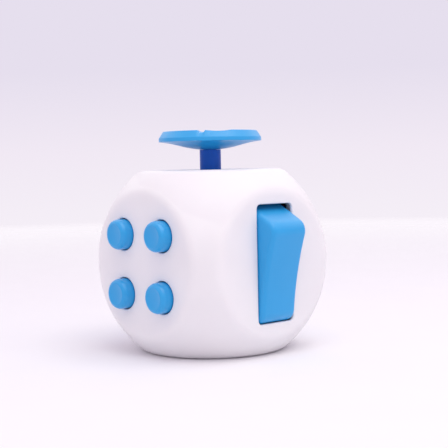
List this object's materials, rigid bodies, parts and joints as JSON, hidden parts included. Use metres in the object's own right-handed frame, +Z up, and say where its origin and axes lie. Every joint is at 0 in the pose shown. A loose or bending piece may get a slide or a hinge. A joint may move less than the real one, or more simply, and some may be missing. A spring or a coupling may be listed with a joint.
{
  "type": "fidget cube",
  "caption": "Rounded white cube for the hand, with push buttons, a rocker switch, a tilting and spinning thumb disc, a spin dial, rollers, a ball and a dished base.",
  "frame": {"origin": "centre of the object's box at its lowest point, on the surface it stands on", "axes": "+Z up along the thumb disc's stem, -Y out of the button face, +X out of the rocker face, +Y out of the roller face, -X out of the dial face"},
  "size_m": [0.0399, 0.0367, 0.04],
  "materials": {
    "white_plastic": "fine satin moulding",
    "blue_plastic": "satin",
    "deep_blue_plastic": "satin",
    "inner_plastic": "as moulded",
    "steel": "turned",
    "spring_steel": "drawn wire and strip"
  },
  "bodies": {
    "housing": {"outer_shell": "white_plastic", "base_cover": "white_plastic", "core_frame": "inner_plastic", "core_screws": "steel", "button_plate": "inner_plastic", "button_spring_1": "spring_steel", "button_spring_2": "spring_steel", "button_spring_3": "spring_steel", "button_spring_4": "spring_steel", "rocker_axle": "steel", "rocker_bracket": "inner_plastic", "rocker_leaf_spring": "spring_steel", "stick_collar": "inner_plastic", "stick_spring": "spring_steel", "dial_plate": "inner_plastic", "roller_axle": "steel", "roller_bracket": "inner_plastic", "ball_spring": "spring_steel"},
    "rocker": {"rocker_paddle": "blue_plastic"},
    "gimbal": {"gimbal_ring": "inner_plastic"},
    "stick": {"stick_stem": "deep_blue_plastic", "stick_cross_pin": "steel", "disc_screw": "steel"},
    "disc": {"thumb_disc": "blue_plastic", "disc_cap": "blue_plastic"},
    "dial": {"spin_dial": "blue_plastic", "dial_washer": "spring_steel", "dial_screw": "steel"},
    "ball_carrier": {"ball_seat": "inner_plastic"},
    "ball": {"roll_ball": "blue_plastic"},
    "button_1": {"button_cap_1": "blue_plastic"},
    "button_2": {"button_cap_2": "blue_plastic"},
    "button_3": {"button_cap_3": "blue_plastic"},
    "button_4": {"button_cap_4": "blue_plastic"},
    "roller_1": {"roller_1": "blue_plastic"},
    "roller_2": {"roller_2": "blue_plastic"},
    "roller_3": {"roller_3": "blue_plastic"}
  },
  "joints": [
    {"name": "button_1_press", "type": "slide", "parent": "housing", "child": "button_1", "axis": [0, 1, 0], "range_m": [0, 0.0012], "stiffness_N_per_m": 350, "springref_m": -0.0006, "deforming": ["button_spring_1"]},
    {"name": "button_2_press", "type": "slide", "parent": "housing", "child": "button_2", "axis": [0, 1, 0], "range_m": [0, 0.0012], "stiffness_N_per_m": 350, "springref_m": -0.0006, "deforming": ["button_spring_2"]},
    {"name": "button_3_press", "type": "slide", "parent": "housing", "child": "button_3", "axis": [0, 1, 0], "range_m": [0, 0.0012], "stiffness_N_per_m": 350, "springref_m": -0.0006, "deforming": ["button_spring_3"]},
    {"name": "button_4_press", "type": "slide", "parent": "housing", "child": "button_4", "axis": [0, 1, 0], "range_m": [0, 0.0012], "stiffness_N_per_m": 350, "springref_m": -0.0006, "deforming": ["button_spring_4"]},
    {"name": "rocker_tilt", "type": "hinge", "parent": "housing", "child": "rocker", "pos_m": [0.0105, 0, 0.0165], "axis": [0, -1, 0], "range_deg": [0, 24.4]},
    {"name": "stick_tilt_front_back", "type": "hinge", "parent": "housing", "child": "gimbal", "pos_m": [0, 0, 0.0245], "axis": [1, 0, 0], "range_deg": [-10, 10], "stiffness_Nm_per_rad": 0.02, "deforming": ["stick_spring"]},
    {"name": "stick_tilt_side", "type": "hinge", "parent": "gimbal", "child": "stick", "pos_m": [0, 0, 0.0245], "axis": [0, 1, 0], "range_deg": [-10, 10], "stiffness_Nm_per_rad": 0.02, "deforming": ["stick_spring"]},
    {"name": "disc_spin", "type": "hinge", "parent": "stick", "child": "disc", "pos_m": [0, 0, 0.038], "axis": [0, 0, 1], "continuous": true},
    {"name": "dial_spin", "type": "hinge", "parent": "housing", "child": "dial", "pos_m": [-0.0165, 0, 0.0165], "axis": [-1, 0, 0], "continuous": true},
    {"name": "ball_press", "type": "slide", "parent": "housing", "child": "ball_carrier", "axis": [0, -1, 0], "range_m": [0, 0.001], "stiffness_N_per_m": 400, "springref_m": -0.0005, "deforming": ["ball_spring"]},
    {"name": "ball_roll", "type": "hinge", "parent": "ball_carrier", "child": "ball", "pos_m": [0, 0.01495, 0.0217], "axis": [1, 0, 0], "continuous": true},
    {"name": "roller_1_spin", "type": "hinge", "parent": "housing", "child": "roller_1", "pos_m": [0, 0.0139, 0.0119], "axis": [1, 0, 0], "continuous": true},
    {"name": "roller_2_spin", "type": "hinge", "parent": "housing", "child": "roller_2", "pos_m": [0, 0.0139, 0.0119], "axis": [1, 0, 0], "continuous": true},
    {"name": "roller_3_spin", "type": "hinge", "parent": "housing", "child": "roller_3", "pos_m": [0, 0.0139, 0.0119], "axis": [1, 0, 0], "continuous": true}
  ]
}
